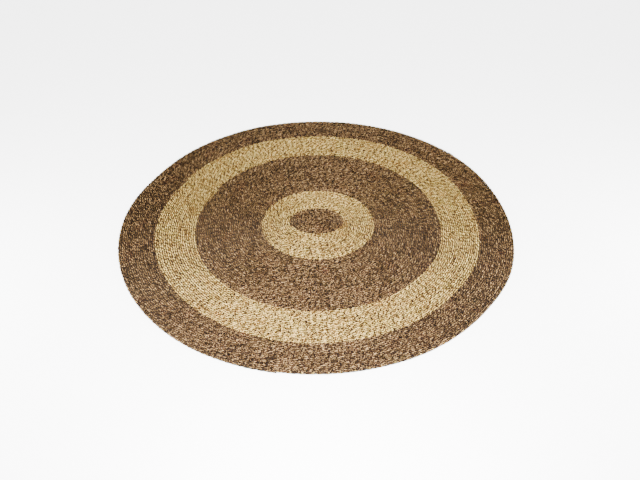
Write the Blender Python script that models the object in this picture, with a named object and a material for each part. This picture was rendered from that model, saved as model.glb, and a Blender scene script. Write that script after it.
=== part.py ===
"""Round seagrass rug, 1.5 m across: five bands of twisted grass, dyed or natural, woven round
and round on one long oval-hearted spiral. Metres, +Z up. The origin is the middle of the
flat underside. +X points along the long way of the spiral's oval heart."""

import math

import bmesh
import bpy
from mathutils import Vector

MM = 0.001
WELD = 0.01 * MM
SAME_STEP = 1e-6

# The rug
RUG_RADIUS = 750 * MM
GROOVE_HEIGHT = 8 * MM  # where two rounds lie against each other
CROWN_HEIGHT = 10 * MM  # along the middle of a round
BAND_GAP = 0.3 * MM  # between one band and the next

# The spiral
START_ANGLE = math.pi  # the first round starts at the left end of the heart
HEART_HALF_LENGTH = 27 * MM  # the first round is folded back on itself, over twice this length
HEART_FADE = 160 * MM  # the rounds even out from an oval to a circle past this radius
TAPER_TURNS = 1 / 12  # the last end is drawn to a point over this share of a turn
TAPER_END = 0.2  # share of its width left at the very end

# One row for each band, from the middle out. A band starts where the one before it ends. It
# has so many rounds, each of this width, made in so many steps.
BANDS = (
    # name, rounds, width, steps, colour (sRGB)
    ("centre_dark_band", 10 + 1 / 18, 8.254 * MM, 18, (0.53, 0.40, 0.28)),
    ("inner_natural_band", 15 + 32 / 36, 8.245 * MM, 36, (0.82, 0.72, 0.57)),
    ("middle_dark_band", 31 + 35 / 36, 8.151 * MM, 36, (0.52, 0.41, 0.29)),
    ("outer_natural_band", 19, 7.842 * MM, 36, (0.78, 0.69, 0.53)),
    ("border_dark_band", 17 + 22 / 72, 7.535 * MM, 72, (0.50, 0.39, 0.27)),
)

# The rounds drift a little off centre as the rug grows.
CENTRES = (
    # radius of the round, where its centre lies
    (80 * MM, Vector((4.5 * MM, 10 * MM))),
    (210 * MM, Vector((7 * MM, -6 * MM))),
    (470 * MM, Vector((6 * MM, -5 * MM))),
    (620 * MM, Vector((1 * MM, -1 * MM))),
    (750 * MM, Vector((0, 0))),
)

# Where the rounds bulge, or dip, at the rug's edge. They do so less in proportion nearer
# the middle.
UNEVENNESS = (
    # direction and spread in degrees, height
    (12, 14, -5 * MM),
    (110, 12, 4 * MM),
    (153, 13, -9 * MM),
    (215, 40, -3.5 * MM),
    (300, 14, 4 * MM),
    (336, 12, 7 * MM),
)

GRASS_ROUGHNESS = 0.75
SHARP_ANGLE = math.radians(60)  # the ribs look round, and the sides stay crisp


def radius_at(turn):
    """The spiral's own radius, before the heart and the unevenness, this many turns along."""
    radius = 0.0
    for _, rounds, width, _, _ in BANDS:
        radius += width * min(max(turn, 0.0), rounds)
        turn -= rounds
    return radius


def angle_at(turn):
    return START_ANGLE + math.tau * turn


def centre_at(radius):
    """The centre of the round of this radius, in plan."""
    last_radius, last_centre = 0.0, CENTRES[0][1]
    for next_radius, next_centre in CENTRES:
        if radius < next_radius:
            share = (radius - last_radius) / (next_radius - last_radius)
            return last_centre.lerp(next_centre, share)
        last_radius, last_centre = next_radius, next_centre
    return last_centre.copy()


def bulge_at(angle):
    """How far the rug's edge stands out, or in, in this direction."""
    bulge = 0.0
    for direction, spread, height in UNEVENNESS:
        off = (math.degrees(angle) - direction + 180) % 360 - 180
        bulge += height * math.exp(-((off / spread) ** 2))
    return bulge


def round_edge(turn):
    """The point on the outer edge of the round, in plan."""
    angle = angle_at(turn)
    radius = radius_at(turn)
    heart = HEART_HALF_LENGTH / (1 + (radius / HEART_FADE) ** 3)
    centre = centre_at(radius)
    radius *= 1 + bulge_at(angle) / RUG_RADIUS
    return centre + Vector(((radius + heart) * math.cos(angle), radius * math.sin(angle)))


def straightened_edge(turn, steps):
    """The same point where the edge runs straight from step to step, so many to a turn."""
    step = math.floor(turn * steps + SAME_STEP)
    return round_edge(step / steps).lerp(round_edge((step + 1) / steps), turn * steps - step)


def fold_line(turn):
    """The point on the straight fold that the first round lies against, in plan."""
    return CENTRES[0][1] + Vector((HEART_HALF_LENGTH * math.cos(angle_at(turn)), 0))


def backwards(turn):
    """The direction back along the round, in plan."""
    angle = angle_at(turn)
    return Vector((math.sin(angle), -math.cos(angle)))


class Band:
    """One band: where it lies on the spiral, and the points on its top."""

    def __init__(self, start, rounds, width, steps, steps_before, is_last):
        self.start = start
        self.end = start + rounds
        self.width = width
        self.steps = steps
        self.steps_before = steps_before
        self.is_last = is_last

    def inner_edge(self, turn):
        """A point where the round lies against the one inside it, or against itself."""
        if turn < 1:
            return fold_line(turn)
        if turn - 1 < self.start:
            return straightened_edge(turn - 1, self.steps_before)
        return self.outer_edge(turn - 1)

    def outer_edge(self, turn):
        """A point on the outer edge, drawn in by the gap where the next band lies against it."""
        point = round_edge(turn)
        if turn < self.end - 1 - SAME_STEP:
            return point
        if self.is_last:
            return point + (round_edge(turn - 1) - point) * self.taper(turn)
        point -= point.normalized() * BAND_GAP
        if abs(turn % 1 - self.end % 1) < SAME_STEP:
            point += backwards(turn) * BAND_GAP
        return point

    def taper(self, turn):
        """The share of its width that the round has lost towards its very end."""
        along = max(0.0, 1 - (self.end - turn) / TAPER_TURNS)
        return (1 - TAPER_END) * along * along * (3 - 2 * along)

    def top(self, turn, across):
        """The point on top of the round, where across is 0 at its inner edge and 1 at its outer."""
        inner = self.inner_edge(turn)
        outer = self.outer_edge(turn)
        fullness = min(1.0, (outer - inner).length / self.width)
        crown = (CROWN_HEIGHT - GROOVE_HEIGHT) * (1 - abs(2 * across - 1)) * fullness
        return inner.lerp(outer, across).to_3d() + Vector((0, 0, GROOVE_HEIGHT + crown))


def band_solid(band):
    """A flat grid wound onto the spiral, joined to itself from round to round, and given its
    sides and its flat underside."""
    steps = round((band.end - band.start) * band.steps)
    solid = bmesh.new()
    bmesh.ops.create_grid(solid, x_segments=steps, y_segments=2, size=0.5)
    for point in solid.verts:
        turn = band.start + round((point.co.x + 0.5) * steps) / band.steps
        across = round((point.co.y + 0.5) * 2) / 2
        point.co = band.top(turn, across)
    bmesh.ops.remove_doubles(solid, verts=solid.verts[:], dist=WELD)

    rim = [edge for edge in solid.edges if edge.is_boundary]
    sides = bmesh.ops.extrude_edge_only(solid, edges=rim)["geom"]
    for point in sides:
        if isinstance(point, bmesh.types.BMVert):
            point.co.z = 0.0
    underside = [edge for edge in sides if isinstance(edge, bmesh.types.BMEdge) and edge.is_boundary]
    bmesh.ops.triangle_fill(solid, edges=underside, use_beauty=True, normal=(0, 0, -1))
    bmesh.ops.recalc_face_normals(solid, faces=solid.faces[:])
    return solid


def linear(colour):
    """An sRGB colour as the linear one that a shader takes."""
    return [((value + 0.055) / 1.055) ** 2.4 for value in colour] + [1.0]


def grass_material(name, colour):
    material = bpy.data.materials.new(name + "_grass")
    material.use_nodes = True
    surface = material.node_tree.nodes["Principled BSDF"]
    surface.inputs["Base Color"].default_value = linear(colour)
    surface.inputs["Roughness"].default_value = GRASS_ROUGHNESS
    surface.inputs["Metallic"].default_value = 0.0
    return material


def add_band(collection, name, band, colour):
    solid = band_solid(band)
    mesh = bpy.data.meshes.new(name)
    solid.to_mesh(mesh)
    solid.free()
    mesh.shade_smooth()
    mesh.set_sharp_from_angle(angle=SHARP_ANGLE)
    mesh.materials.append(grass_material(name, colour))
    collection.objects.link(bpy.data.objects.new(name, mesh))


def clear_scene():
    for thing in list(bpy.data.objects):
        bpy.data.objects.remove(thing, do_unlink=True)


def main():
    clear_scene()
    collection = bpy.data.collections.new("round_seagrass_rug")
    bpy.context.scene.collection.children.link(collection)
    start, steps_before = 0.0, 0
    for name, rounds, width, steps, colour in BANDS:
        band = Band(start, rounds, width, steps, steps_before, is_last=name == BANDS[-1][0])
        add_band(collection, name, band, colour)
        start, steps_before = band.end, steps


main()
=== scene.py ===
"""The looks of the round seagrass rug: both strands of every round of its weave, with the loose
blades and the spokes' ends that show, on a pale studio floor."""

import math

import bmesh
import bpy
import numpy as np
from mathutils import Matrix, Vector


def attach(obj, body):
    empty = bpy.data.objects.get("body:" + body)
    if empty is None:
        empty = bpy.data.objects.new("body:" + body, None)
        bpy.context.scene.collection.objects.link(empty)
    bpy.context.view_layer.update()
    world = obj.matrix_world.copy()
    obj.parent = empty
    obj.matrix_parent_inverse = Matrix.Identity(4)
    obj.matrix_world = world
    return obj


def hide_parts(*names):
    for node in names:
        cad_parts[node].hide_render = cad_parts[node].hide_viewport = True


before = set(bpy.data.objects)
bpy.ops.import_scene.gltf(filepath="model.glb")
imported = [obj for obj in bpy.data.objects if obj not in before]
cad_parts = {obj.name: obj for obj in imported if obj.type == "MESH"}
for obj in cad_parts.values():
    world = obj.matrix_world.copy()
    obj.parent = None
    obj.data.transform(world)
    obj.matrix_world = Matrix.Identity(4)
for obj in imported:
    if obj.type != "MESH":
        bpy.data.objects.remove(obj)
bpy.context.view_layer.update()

MM = 0.001
WHITE = (1.0, 1.0, 1.0, 1.0)

# The spiral, as the solids have it: one row for each band, from the middle out.
BANDS = (
    # name, rounds, width, finish
    ("centre_dark_band", 10 + 1 / 18, 8.254 * MM, "dyed"),
    ("inner_natural_band", 15 + 32 / 36, 8.245 * MM, "natural"),
    ("middle_dark_band", 31 + 35 / 36, 8.151 * MM, "dyed"),
    ("outer_natural_band", 19, 7.842 * MM, "natural"),
    ("border_dark_band", 17 + 22 / 72, 7.535 * MM, "dyed"),
)
RUG_RADIUS = 750 * MM
START_ANGLE = math.pi
HEART_HALF_LENGTH = 27 * MM
HEART_FADE = 160 * MM
TAPER_TURNS = 1 / 12
TAPER_END = 0.2  # share of the round's width that is left where the last end is tucked in
CENTRES = np.array(
    # radius of a round, x and y of its centre
    (
        (80 * MM, 4.5 * MM, 10 * MM),
        (210 * MM, 7 * MM, -6 * MM),
        (470 * MM, 6 * MM, -5 * MM),
        (620 * MM, 1 * MM, -1 * MM),
        (750 * MM, 0, 0),
    )
)
UNEVENNESS = (
    # direction and spread in degrees, height at the rug's edge
    (12, 14, -5 * MM),
    (110, 12, 4 * MM),
    (153, 13, -9 * MM),
    (215, 40, -3.5 * MM),
    (300, 14, 4 * MM),
    (336, 12, 7 * MM),
)
FINE_STEPS_PER_TURN = 720  # for measuring along the spiral

# The weave: every round is two strands, twisted half a turn round each other from one hidden
# spoke to the next.
STRANDS = "ab"
USUAL_WIDTH = 8.15 * MM
WIDEST_STITCH = 25 * MM  # a new spoke starts where two have spread further apart
SETTLING = 0.15  # how far the spokes even out from one round to the next
STITCH_SLIP = 2.6 * MM
SWAY = 0.18  # how far the twist takes a strand to either side, as a share of the round's width
RISE = 1.9 * MM
MID_HEIGHT = 5.4 * MM

# A strand: a flattened tube, with these sides and these rings to a stitch.
SIDES = 5
STEPS_PER_STITCH = 4
STRAND_HALF_WIDTH = 1.6 * MM
STRAND_HALF_THICKNESS = 2.3 * MM
SPREAD_OVER_SPOKE = 0.85  # share by which a strand is wider where it lies on top
LEAST_FULLNESS, MOST_FULLNESS = 0.25, 1.1  # of a strand in a narrow and in a wide round
TOUCHING = 0.001 * MM

# How a strand strays from its even course: how far, and over what length that changes. The
# first two are shared by both strands of a round.
TWIST_STRAY = 1.1, 50 * MM  # radians
ROUND_STRAY = 0.03, 50 * MM  # share of the round's width
STRAND_STRAY = 0.05, 18 * MM  # share of the round's width
HEIGHT_STRAY = 0.45 * MM, 20 * MM
WIDTH_STRAY = 0.16, 24 * MM  # share of the strand's width
THICKNESS_STRAY = 0.10, 30 * MM  # share of the strand's thickness
CORNER_STRAY = 0.08  # share of the strand's size, at each corner of a ring alone

# The maps on the pieces.
BLADES_MAP = "blades"
BAKE_MAP = "OFBake"
STRAND_GIRTH = 16 * MM

# The ends of blades that show.
BLADE_STEPS = 8
BLADE_HALF_THICKNESS = 0.5 * MM
BLADE_ROOT_HEIGHT = 7.0 * MM
BLADE_TOP_HEIGHT = 10.2 * MM
ARCH_START, ARCH_SPAN = 0.15, 0.6  # the part of an arch that a loose end follows
BLADE_BLUNTNESS = 1.02
PLAIN_ENDS = {
    # turns along, length, how far it leans outwards, half its width
    "natural": (
        (23.94, 20 * MM, -5 * MM, 1.8 * MM),
        (23.95, 24 * MM, 5 * MM, 1.8 * MM),
        (69.92, 22 * MM, -5 * MM, 2.0 * MM),
        (69.93, 26 * MM, 7 * MM, 2.2 * MM),
        (70.15, 40 * MM, 4 * MM, 2.0 * MM),
    ),
    "dyed": ((93.6, 40 * MM, 3 * MM, 2.0 * MM),),
}
ENDS_IN_BAND = (3, 12, 26, 34, 40)
SMALLEST_END = (12 * MM, -7 * MM, 0.9 * MM)  # length, lean and half the width
LARGEST_END = (34 * MM, 7 * MM, 1.6 * MM)

# The ends of spokes, each folded over the last round.
SPOKE_HALF_WIDTH = 2.2 * MM
SPOKE_END_HEIGHT = 5.0 * MM
SPOKE_END_FROM, SPOKE_END_TO = 0.1, 1.0  # shares of the round's width
SPOKE_END_BEND = 1.5

BED_TOP = 4.0 * MM
BED_BOTTOM = 2.5 * MM
BED_INSET = 5 * MM
BED_POINTS = 192

# Where the chances of each piece start.
SPOKES_SEED = 5
ENDS_SEEDS = {"dyed": 4, "natural": 7}
STRAND_SEEDS = 10  # from one band to the next
ROUND_SEEDS = 100


# ---- the spiral ----

TURNS_AT_ENDS = np.cumsum([0.0] + [rounds for _, rounds, _, _ in BANDS])
RADII_AT_ENDS = np.cumsum([0.0] + [rounds * width for _, rounds, width, _ in BANDS])
LAST_TURN = TURNS_AT_ENDS[-1]


def round_edge(turn):
    """The points on the outer edge of the round, in plan, this many turns along."""
    angle = START_ANGLE + math.tau * turn
    radius = np.interp(turn, TURNS_AT_ENDS, RADII_AT_ENDS)
    heart = HEART_HALF_LENGTH / (1 + (radius / HEART_FADE) ** 3)
    across, up = (np.interp(radius, CENTRES[:, 0], CENTRES[:, axis]) for axis in (1, 2))
    bulge = 0
    for direction, spread, height in UNEVENNESS:
        off = (np.degrees(angle) - direction + 180) % 360 - 180
        bulge = bulge + height * np.exp(-((off / spread) ** 2))
    radius = radius * (1 + bulge / RUG_RADIUS)
    return np.stack([across, up], axis=-1) + np.stack(
        [(radius + heart) * np.cos(angle), radius * np.sin(angle)], axis=-1
    )


def row_edges(turn):
    """The inner and the outer edge of the round. The last end is drawn to a point."""
    inner = round_edge(turn - 1)
    outer = round_edge(turn)
    along = np.clip(1 - (LAST_TURN - turn) / TAPER_TURNS, 0, 1)
    lost = (1 - TAPER_END) * along * along * (3 - 2 * along)
    return inner, outer + (inner - outer) * lost[:, None]


def lengths(points):
    """The length from each point of a line to its next one."""
    return np.linalg.norm(np.diff(points, axis=0), axis=1)


FINE_TURNS = np.linspace(0, LAST_TURN, int(LAST_TURN * FINE_STEPS_PER_TURN))
FINE_RUNS = np.append(0, np.cumsum(lengths(sum(row_edges(FINE_TURNS)) / 2)))


def run_at(turn):
    """How far along the spiral this many turns reach."""
    return np.interp(turn, FINE_TURNS, FINE_RUNS)


def turn_at(run):
    """How many turns this far along the spiral takes."""
    return np.interp(run, FINE_RUNS, FINE_TURNS)


def stitch_turns():
    """How many turns along each stitch lies. It's over a spoke, so nearly in line with the
    stitch in the round before."""
    chance = np.random.default_rng(SPOKES_SEED)
    spokes = np.array([0.0, 1.0])
    found = []
    for turn in range(math.ceil(LAST_TURN)):
        run = run_at(turn + spokes)
        run[1:-1] += SETTLING * ((run[:-2] + run[2:]) / 2 - run[1:-1])
        wide = np.flatnonzero(np.diff(run) > WIDEST_STITCH)
        while len(wide):
            run = np.sort(np.append(run, (run[wide] + run[wide + 1]) / 2))
            wide = np.flatnonzero(np.diff(run) > WIDEST_STITCH)
        spokes = turn_at(run) - turn
        spokes[0], spokes[-1] = 0.0, 1.0
        if turn + 1 > LAST_TURN:
            run = run[run < FINE_RUNS[-1] - WIDEST_STITCH / 2]
        else:
            run = run[:-1]
        slip = chance.uniform(-STITCH_SLIP, STITCH_SLIP, len(run))
        found.append(turn_at(run + slip))
    return np.concatenate([*found, [LAST_TURN]])


STITCH_TURNS = stitch_turns()


def course(start, end):
    """For each ring of a strand: its turns along, its stitches along and its distance along."""
    first, last = np.interp((start, end), STITCH_TURNS, np.arange(len(STITCH_TURNS)))
    steps = np.arange(math.floor(first * STEPS_PER_STITCH) + 1, last * STEPS_PER_STITCH)
    stitch = np.concatenate([[first], steps / STEPS_PER_STITCH, [last]])
    turn = np.interp(stitch, np.arange(len(STITCH_TURNS)), STITCH_TURNS)
    return turn, stitch, run_at(turn) - run_at(start)


def stray(places, chance, most, length):
    """Smooth random values, one for each place, up to the most and changing over this length."""
    values = chance.uniform(-1, 1, int(places[-1] / length) + 3)
    knot = (places / length).astype(int)
    share = places / length - knot
    share = share * share * (3 - 2 * share)
    return most * (values[knot] * (1 - share) + values[knot + 1] * share)


# ---- the strands ----


def strand_rings(band, strand, chance):
    """For each ring of a strand: its points, and how far along the strand it lies."""
    turn, stitch, places = course(TURNS_AT_ENDS[band], TURNS_AT_ENDS[band + 1])
    shared = np.random.default_rng(ROUND_SEEDS + band)
    phase = math.pi * (stitch + strand) + stray(places, shared, *TWIST_STRAY)
    inner, outer = row_edges(turn)
    fullness = np.linalg.norm(outer - inner, axis=1) / USUAL_WIDTH
    across = 0.5 + SWAY * np.cos(phase) + stray(places, shared, *ROUND_STRAY)
    across += stray(places, chance, *STRAND_STRAY)
    plan = inner + (outer - inner) * across[:, None]
    height = MID_HEIGHT + RISE * np.sin(phase) + stray(places, chance, *HEIGHT_STRAY)
    middle = np.column_stack([plan, height])

    ahead = np.gradient(middle, axis=0)
    ahead /= np.linalg.norm(ahead, axis=1)[:, None]
    side = np.cross((0.0, 0.0, 1.0), ahead)
    side /= np.linalg.norm(side, axis=1)[:, None]
    up = np.cross(ahead, side)

    half_width = STRAND_HALF_WIDTH * np.clip(fullness, LEAST_FULLNESS, MOST_FULLNESS)
    half_width *= 1 + SPREAD_OVER_SPOKE * np.maximum(0, np.sin(phase))
    half_width *= 1 + stray(places, chance, *WIDTH_STRAY)
    half_thickness = STRAND_HALF_THICKNESS * (1 + stray(places, chance, *THICKNESS_STRAY))
    closing = np.ones(len(places))
    closing[[0, -1]] = 0
    rings = []
    for corner in range(SIDES):
        angle = math.tau * corner / SIDES - math.pi / 2
        reach = side * half_width[:, None] * math.cos(angle)
        reach += up * half_thickness[:, None] * math.sin(angle)
        rough = closing * (1 + CORNER_STRAY * chance.uniform(-1, 1, len(places)))
        rings.append(middle + reach * rough[:, None])
    rings.append(rings[0])
    return np.stack(rings), places


def rolled_tube(solid, rings):
    """A grid rolled into a tube along its rings, which are drawn to a point at both ends."""
    sides, steps = rings.shape[0] - 1, rings.shape[1] - 1
    points = bmesh.ops.create_grid(
        solid, x_segments=steps, y_segments=sides, size=0.5, calc_uvs=True
    )["verts"]
    for point, place in zip(points, rings.reshape(-1, 3).tolist()):
        point.co = place
    return points


def finished(name, solid):
    """The piece that this bmesh makes, with its seams closed and its faces outwards."""
    bmesh.ops.remove_doubles(solid, verts=solid.verts[:], dist=TOUCHING)
    bmesh.ops.recalc_face_normals(solid, faces=solid.faces[:])
    mesh = bpy.data.meshes.new(name)
    solid.to_mesh(mesh)
    solid.free()
    piece = bpy.data.objects.new(name, mesh)
    bpy.context.scene.collection.objects.link(piece)
    return piece


def strand_piece(band, strand):
    """One strand of one band."""
    chance = np.random.default_rng(STRAND_SEEDS * band + strand)
    rings, places = strand_rings(band, strand, chance)
    tube = bmesh.new()
    tube.loops.layers.uv.new(BLADES_MAP)
    rolled_tube(tube, rings)
    piece = finished(f"{BANDS[band][0]}_strand_{STRANDS[strand]}", tube)
    piece.data.shade_smooth()
    lay_out_blades(piece.data, places, strand + 2 * band)
    return piece


def lay_out_blades(mesh, places, number):
    """The strand's map, in metres along it and in times round it. Each strand has its own part
    of the map. A second map lays it in rows, one above another, so that it fills a square."""
    along_and_round = np.empty(2 * len(mesh.loops))
    mesh.uv_layers[BLADES_MAP].data.foreach_get("uv", along_and_round)
    along, times_round = along_and_round.reshape(-1, 2).T
    segments = len(places) - 1
    ring = np.round(along * segments).astype(int)
    blades = np.stack([places[ring], times_round + number], axis=-1)

    first = np.empty(len(mesh.polygons), int)
    mesh.polygons.foreach_get("loop_start", first)
    corners = np.diff(np.append(first, len(ring)))
    segment = np.repeat(np.minimum.reduceat(ring, first), corners)
    rows = max(1, round(math.sqrt(places[-1] / STRAND_GIRTH)))
    per_row = math.ceil(segments / rows)
    row = segment // per_row
    laid = np.stack([(ring - row * per_row) / per_row, (row + times_round) / rows], axis=-1)

    mesh.uv_layers[BLADES_MAP].data.foreach_set("uv", blades.ravel())
    mesh.uv_layers.new(name=BAKE_MAP).data.foreach_set("uv", laid.ravel())


# ---- the ends that show, and the bed ----


def blades_piece(name, blades):
    """Flat blades as one piece, each from its middle line, its direction across and its half
    width. Their map is in metres along and in times round, and no two share a part of it."""
    solid = bmesh.new()
    layer = solid.loops.layers.uv.new(BLADES_MAP)
    for number, (middle, side, half_width) in enumerate(blades):
        rings = []
        for corner in range(SIDES + 1):
            angle = math.tau * corner / SIDES - math.pi / 2
            rise = (0, 0, BLADE_HALF_THICKNESS * math.sin(angle))
            reach = side * (half_width * math.cos(angle))[:, None] + rise
            reach[[0, -1]] = 0
            rings.append(middle + reach)
        points = rolled_tube(solid, np.stack(rings))
        length = lengths(middle).sum()
        for corner in {corner for point in points for corner in point.link_loops}:
            corner[layer].uv.x = number + corner[layer].uv.x * length
    piece = finished(name, solid)
    piece.data.shade_smooth()
    return piece


def directions_across(inner, outer):
    """The level directions from the inner to the outer edge of a round."""
    across = (outer - inner) / np.linalg.norm(outer - inner, axis=1)[:, None]
    return np.column_stack([across, np.zeros(len(across))])


def loose_end(turn, length, lean, half_width):
    """The end of a blade that has come out of its round: it rises over the round and leans to
    one side."""
    share = np.linspace(0, 1, BLADE_STEPS + 1)
    inner, outer = row_edges(turn_at(run_at(turn) + share * length))
    side = directions_across(inner, outer)
    rise = np.sin(math.pi * (ARCH_START + ARCH_SPAN * share))
    height = BLADE_ROOT_HEIGHT + (BLADE_TOP_HEIGHT - BLADE_ROOT_HEIGHT) * rise
    middle = np.column_stack([(inner + outer) / 2, height]) + side * (lean * share**2)[:, None]
    return middle, side, half_width * np.sqrt(BLADE_BLUNTNESS - share**3)


def spoke_end(turn):
    """The end of a spoke, folded over the last round and down its outside."""
    share = np.linspace(SPOKE_END_FROM, SPOKE_END_TO, BLADE_STEPS + 1)
    inner, outer = row_edges(np.full(len(share), turn))
    along = np.cross(directions_across(inner, outer), (0.0, 0.0, 1.0))
    fall = np.abs(share - 0.5) ** SPOKE_END_BEND / 0.5**SPOKE_END_BEND
    height = BLADE_TOP_HEIGHT - (BLADE_TOP_HEIGHT - SPOKE_END_HEIGHT) * fall
    middle = np.column_stack([inner + (outer - inner) * share[:, None], height])
    return middle, along, np.full(len(share), SPOKE_HALF_WIDTH)


def loose_ends_piece(finish):
    """The loose ends that show plainly, and a few more in each band, laid by chance."""
    chance = np.random.default_rng(ENDS_SEEDS[finish])
    blades = [loose_end(*end) for end in PLAIN_ENDS[finish]]
    for band, number in enumerate(ENDS_IN_BAND):
        if BANDS[band][3] == finish:
            first, last = TURNS_AT_ENDS[band] + 1, TURNS_AT_ENDS[band + 1] - 1
            for turn in chance.uniform(first, last, number):
                blades.append(loose_end(turn, *chance.uniform(SMALLEST_END, LARGEST_END)))
    return blades_piece(f"{finish}_loose_ends", blades)


def spoke_ends_piece():
    """Every second spoke's end shows on the edge of the rug."""
    after, before = LAST_TURN - 1, LAST_TURN - TAPER_TURNS
    last_round = STITCH_TURNS[(STITCH_TURNS > after) & (STITCH_TURNS < before)]
    return blades_piece("spoke_ends", [spoke_end(turn) for turn in last_round[::2]])


def bed_piece():
    """The closed inside of the weave, coloured with painted shade, which shows only as the dark at
    the bottom of its gaps.
    """
    bed = bmesh.new()
    rim = bmesh.ops.create_circle(bed, cap_ends=True, segments=BED_POINTS, radius=1.0)["verts"]
    angles = np.array([math.atan2(point.co.y, point.co.x) for point in rim])
    turn = LAST_TURN - 1 + ((angles - START_ANGLE) / math.tau - LAST_TURN) % 1
    edge = row_edges(turn)[1]
    edge *= 1 - BED_INSET / np.linalg.norm(edge, axis=1)[:, None]
    for point, (x, y) in zip(rim, edge):
        point.co = (x, y, BED_BOTTOM)
    top = bmesh.ops.extrude_face_region(bed, geom=bed.faces[:])["geom"]
    top = [part for part in top if isinstance(part, bmesh.types.BMVert)]
    bmesh.ops.translate(bed, verts=top, vec=(0, 0, BED_TOP - BED_BOTTOM))
    return finished("weave_bed", bed)


# ---- finishes ----


class Signal:
    """A shader socket that takes part in sums."""

    def __init__(self, nodes, socket):
        self.nodes = nodes
        self.socket = socket

    def maths(self, operation, *values):
        return self.nodes.add("ShaderNodeMath", {"operation": operation}, dict(enumerate(values)))

    def __add__(self, other):
        return self.maths("ADD", self, other)

    def __sub__(self, other):
        return self.maths("SUBTRACT", self, other)

    def __rsub__(self, other):
        return self.maths("SUBTRACT", other, self)

    def __mul__(self, other):
        return self.maths("MULTIPLY", self, other)

    __radd__ = __add__
    __rmul__ = __mul__


class Nodes:
    """The node tree of one material."""

    def __init__(self, name):
        self.material = bpy.data.materials.new(name)
        self.material.use_nodes = True
        self.tree = self.material.node_tree
        self.surface = self.tree.nodes["Principled BSDF"]

    def add(self, kind, settings, inputs, output=0):
        """A node of this type, with its settings set first, then its sockets' values or links."""
        node = self.tree.nodes.new(kind)
        for name, value in settings.items():
            setattr(node, name, value)
        for socket, value in inputs.items():
            self.connect(node.inputs[socket], value)
        return Signal(self, node.outputs[output])

    def connect(self, socket, value):
        if isinstance(value, Signal):
            self.tree.links.new(value.socket, socket)
        else:
            socket.default_value = value

    def shade(self, **inputs):
        for name, value in inputs.items():
            self.connect(self.surface.inputs[name.replace("_", " ")], value)

    def noise(self, vector, scale=1.0, detail=2.0):
        inputs = {"Vector": vector, "Scale": scale, "Detail": detail}
        return self.add("ShaderNodeTexNoise", {"noise_dimensions": "3D"}, inputs, "Fac")

    def cells(self, vector, output, **settings):
        inputs = {"Vector": vector, "Scale": 1.0}
        return self.add(
            "ShaderNodeTexVoronoi", {"voronoi_dimensions": "2D", **settings}, inputs, output
        )

    def scaled(self, vector, scale):
        return self.add("ShaderNodeMapping", {}, {"Vector": vector, "Scale": scale})

    def ranged(self, value, low, high, to_low=0.0, to_high=1.0):
        inputs = {"Value": value, "From Min": low, "From Max": high}
        inputs.update({"To Min": to_low, "To Max": to_high})
        return self.add("ShaderNodeMapRange", {"interpolation_type": "SMOOTHSTEP"}, inputs)

    def blend(self, share, first, second, way="MIX"):
        settings = {"data_type": "RGBA", "blend_type": way}
        return self.add("ShaderNodeMix", settings, {"Factor": share, 6: first, 7: second}, 2)


def linear(red, green, blue):
    """A colour as seen on a screen, as the linear one that a shader takes."""
    seen = (red, green, blue)
    return tuple(((value / 255 + 0.055) / 1.055) ** 2.4 for value in seen) + (1.0,)


FINISHES = {
    # the grass's usual colour, its light and dark blades, and the tints of its two sorts of patch
    "dyed": {
        "usual": linear(86, 65, 40),
        "light": linear(196, 158, 109),
        "dark": linear(29, 15, 2),
        "warm": linear(113, 67, 45),
        "green": linear(80, 71, 38),
    },
    "natural": {
        "usual": linear(234, 192, 110),
        "light": linear(255, 229, 140),
        "dark": linear(104, 72, 34),
        "warm": linear(228, 164, 76),
        "green": linear(202, 172, 74),
    },
}
SLOTS = {"dyed": "dyed_grass", "natural": "natural_grass"}

# Grain on the blades' map: how often it changes, by the metre along and by the turn round.
BLADE_GRAIN = (22, 9, 1)
WANDER_GRAIN = (30, 1.3, 1)
WANDER = 2.2  # how many blades a blade wanders across
BUNDLE_GRAIN = (9, 0.9, 1)
STITCH_GRAIN = (230, 3.6, 1)
FIBRE_GRAIN = (60, 60, 1)

# How strongly each of these makes the grass lighter or darker, and the tone of the lightest.
BLADE_TONE = 1.1
BUNDLE_TONE = 0.2
STITCH_TONE = 5.2
FIBRE_TONE = 1.6
FULL_TONE = 0.7

# Warm and green patches, over the whole rug.
PATCH_GRAIN = 14.0
WARM_PATCHES = 0.56, 0.70
GREEN_PATCHES = 0.44, 0.30
PATCH_TINT = 0.5  # share of the tint in the middle of a patch

# The painted shade of the gaps, multiplied into the grass's colour: between blades, low down in the
# weave, and in small holes.
BLADE_GAP = 0.12  # share of a blade's width
PAINTED_LIGHT_BETWEEN_BLADES = 0.45
PAINTED_DARK_HEIGHT, PAINTED_LIGHT_HEIGHT = 7.0 * MM, 8.7 * MM
LEAST_PAINTED_LIGHT = 0.03
PAINTED_SHADE_WOBBLE = 9 * MM  # how far the height at which the painted shade starts goes up and down
PAINTED_SHADE_WOBBLE_GRAIN = (290, 290, 1)
HOLE_GRAIN = 170.0
HOLES = 0.29, 0.33  # the grain below which a hole of painted shade is, and above which the grass is whole
PAINTED_HOLE_LIGHT = 0.04
COOL_LIGHT = 0.8  # in less painted light than this, the painted shade of a gap is warmer than the grass round it
PAINTED_GAP_WARMTH = 0.75  # share of green left in the darkest painted shade; of blue, that share squared

BLADE_ROUNDING = 0.3
FIBRE_RELIEF = 0.3
RELIEF_STRENGTH = 0.7
RELIEF_DEPTH = 0.5 * MM
SHEEN_TONE = 0.8
MATT, DULL, GLOSSY = 0.9, 0.7, 0.5  # roughness of the floor and bed, of dark and of light grass
SPECULAR = 0.08

# Painted shade: the dark colours of the bed, which stand for the shade deep in the weave.
SHADOWED_GRAIN = 240.0
SHADOWED_COLOURS = linear(30, 20, 13), linear(54, 38, 24)


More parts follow.
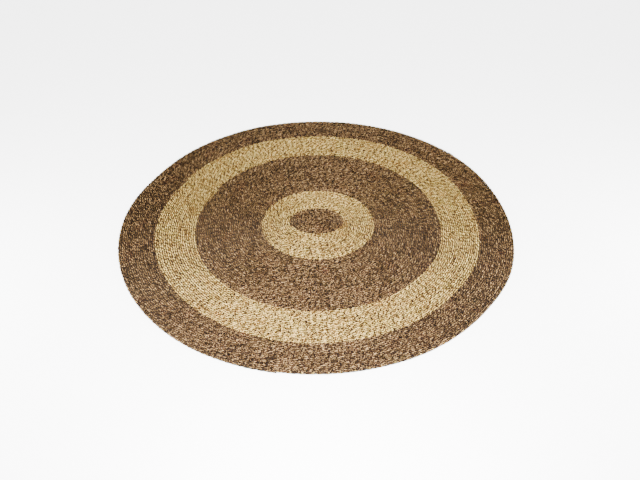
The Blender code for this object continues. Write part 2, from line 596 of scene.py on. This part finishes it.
def painted_light_in_gaps(nodes, place, gap):
    """How much light is painted into the colour at each point: painted shade between blades, low
    down and in the small holes.
    """
    height = nodes.add("ShaderNodeSeparateXYZ", {}, {"Vector": place}, "Z")
    shade_wobble = nodes.noise(nodes.scaled(place, PAINTED_SHADE_WOBBLE_GRAIN), detail=0.0)
    hole = nodes.ranged(nodes.noise(place, HOLE_GRAIN, detail=0.0), *HOLES, PAINTED_HOLE_LIGHT, 1.0)
    level = height + (shade_wobble - 0.5) * PAINTED_SHADE_WOBBLE
    return (
        hole
        * nodes.ranged(level, PAINTED_DARK_HEIGHT, PAINTED_LIGHT_HEIGHT, LEAST_PAINTED_LIGHT, 1.0)
        * nodes.ranged(gap, 0.0, BLADE_GAP, PAINTED_LIGHT_BETWEEN_BLADES, 1.0)
    )


def grass(name, usual, light, dark, warm, green):
    """Twisted grass: a bundle of flat blades, each with its own tone, and painted shade in the
    gaps.
    """
    nodes = Nodes(name)
    place = nodes.add("ShaderNodeTexCoord", {}, {}, "Object")
    on_map = nodes.add("ShaderNodeUVMap", {"uv_map": BLADES_MAP}, {})

    wander = nodes.noise(nodes.scaled(on_map, WANDER_GRAIN)) * WANDER
    sway = nodes.add("ShaderNodeCombineXYZ", {}, {"Y": wander})
    across = nodes.add("ShaderNodeVectorMath", {}, {0: nodes.scaled(on_map, BLADE_GRAIN), 1: sway})
    blade = nodes.add("ShaderNodeSeparateColor", {}, {"Color": nodes.cells(across, "Color")}, "Red")
    gap = nodes.cells(across, "Distance", feature="DISTANCE_TO_EDGE")
    bundle = nodes.noise(nodes.scaled(on_map, BUNDLE_GRAIN))
    stitch = nodes.noise(nodes.scaled(on_map, STITCH_GRAIN))
    fibre = nodes.noise(nodes.scaled(on_map, FIBRE_GRAIN), detail=3.0)
    patch = nodes.noise(place, PATCH_GRAIN, detail=3.0)

    tone = (
        (blade - 0.5) * BLADE_TONE
        + (bundle - 0.5) * BUNDLE_TONE
        + (stitch - 0.5) * STITCH_TONE
        + (fibre - 0.5) * FIBRE_TONE
    )
    colour = nodes.blend(nodes.ranged(patch, *WARM_PATCHES, 0, PATCH_TINT), usual, warm)
    colour = nodes.blend(nodes.ranged(patch, *GREEN_PATCHES, 0, PATCH_TINT), colour, green)
    colour = nodes.blend(nodes.ranged(tone, 0.0, FULL_TONE), colour, light)
    colour = nodes.blend(nodes.ranged(tone, 0.0, -FULL_TONE), colour, dark)
    # Painted shade: the colour is multiplied by the light each point would get, with a warmer tint
    # where the painted shade is darker.
    painted_lit = painted_light_in_gaps(nodes, place, gap)
    painted_warmth = nodes.ranged(painted_lit, 0.0, COOL_LIGHT, PAINTED_GAP_WARMTH, 1.0)
    tint = {0: painted_lit, 1: painted_lit * painted_warmth, 2: painted_lit * painted_warmth * painted_warmth}
    shade = nodes.add("ShaderNodeCombineColor", {}, tint)
    colour = nodes.blend(1.0, colour, shade, "MULTIPLY")

    relief = nodes.ranged(gap, 0.0, BLADE_ROUNDING) + fibre * FIBRE_RELIEF
    bump = {"Strength": RELIEF_STRENGTH, "Distance": RELIEF_DEPTH, "Height": relief}
    nodes.shade(
        Base_Color=colour,
        Roughness=nodes.ranged(tone, -SHEEN_TONE, SHEEN_TONE, DULL, GLOSSY),
        Specular_IOR_Level=SPECULAR,
        Normal=nodes.add("ShaderNodeBump", {}, bump),
    )
    return nodes.material


def shadowed_grass():
    """The grass deep in the weave, its dark colour painted shade."""
    nodes = Nodes("shadowed_grass")
    place = nodes.add("ShaderNodeTexCoord", {}, {}, "Object")
    colour = nodes.blend(nodes.noise(place, SHADOWED_GRAIN), *SHADOWED_COLOURS)
    nodes.shade(Base_Color=colour, Roughness=MATT)
    return nodes.material


# ---- the rug ----


def make_rug():
    """Every piece of the rug, on its one body. The bed is the sheet that carries the rest."""
    materials = {finish: grass(SLOTS[finish], **colours) for finish, colours in FINISHES.items()}
    for band, (name, _, _, finish) in enumerate(BANDS):
        for strand in range(len(STRANDS)):
            piece = strand_piece(band, strand)
            piece.data.materials.append(materials[finish])
            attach(piece, "root")
            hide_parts(name)
    for ends, finish in (
        (loose_ends_piece("dyed"), "dyed"),
        (loose_ends_piece("natural"), "natural"),
        (spoke_ends_piece(), "natural"),
    ):
        ends.data.materials.append(materials[finish])
        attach(ends, "root")
    bed = bed_piece()
    bed.data.materials.append(shadowed_grass())
    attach(bed, "root")


# ---- the studio ----

FLOOR_SIDE = 30
FLOOR_COLOUR = (0.97, 0.97, 0.97, 1.0)
FLOOR_GLOW = 4.5
WORLD_GLOW = 0.3
LIGHTS = (
    # name, where it hangs, its side and its watts
    ("front_light", (0.0, -1.52, 1.1), 0.4, 141),
    ("left_light", (-1.8, -0.55, 0.75), 0.4, 62),
    ("right_light", (1.8, -0.5, 0.75), 0.4, 60),
)
CAMERA_PLACE = Vector((0.0, -2.213, 1.786))
CAMERA_TARGET = Vector((0.015, -0.095, 0.0))
CAMERA_ROLL = math.radians(-0.86)
CAMERA_LENS = 41.34
CAMERA_SENSOR = 36


def aim(place, target):
    """The turn that points a lamp or a camera from its place to its target."""
    return (target - place).to_track_quat("-Z", "Y")


def make_floor():
    """A pale floor with a little light of its own."""
    bpy.ops.mesh.primitive_plane_add(size=FLOOR_SIDE)
    floor = bpy.context.object
    floor.name = "floor"
    nodes = Nodes("pale_floor")
    nodes.shade(Base_Color=FLOOR_COLOUR, Roughness=MATT)
    nodes.shade(Emission_Color=WHITE, Emission_Strength=FLOOR_GLOW)
    floor.data.materials.append(nodes.material)


def make_lights():
    """Soft lights in front and to both sides, under a dim white sky."""
    world = bpy.data.worlds.new("studio")
    bpy.context.scene.world = world
    world.use_nodes = True
    sky = world.node_tree.nodes["Background"].inputs
    sky["Color"].default_value = WHITE
    sky["Strength"].default_value = WORLD_GLOW
    for name, place, side, watts in LIGHTS:
        light = bpy.data.lights.new(name, "AREA")
        light.shape = "SQUARE"
        light.size = side
        light.energy = watts
        lamp = bpy.data.objects.new(name, light)
        lamp.location = place
        lamp.rotation_euler = aim(Vector(place), Vector()).to_euler()
        bpy.context.scene.collection.objects.link(lamp)


def make_camera():
    camera = bpy.data.cameras.new("camera")
    camera.lens = CAMERA_LENS
    camera.sensor_width = CAMERA_SENSOR
    holder = bpy.data.objects.new("camera", camera)
    look = aim(CAMERA_PLACE, CAMERA_TARGET).to_matrix().to_4x4()
    roll = Matrix.Rotation(CAMERA_ROLL, 4, "Z")
    holder.matrix_world = Matrix.Translation(CAMERA_PLACE) @ look @ roll
    bpy.context.scene.collection.objects.link(holder)
    bpy.context.scene.camera = holder


make_rug()
make_floor()
make_lights()
make_camera()
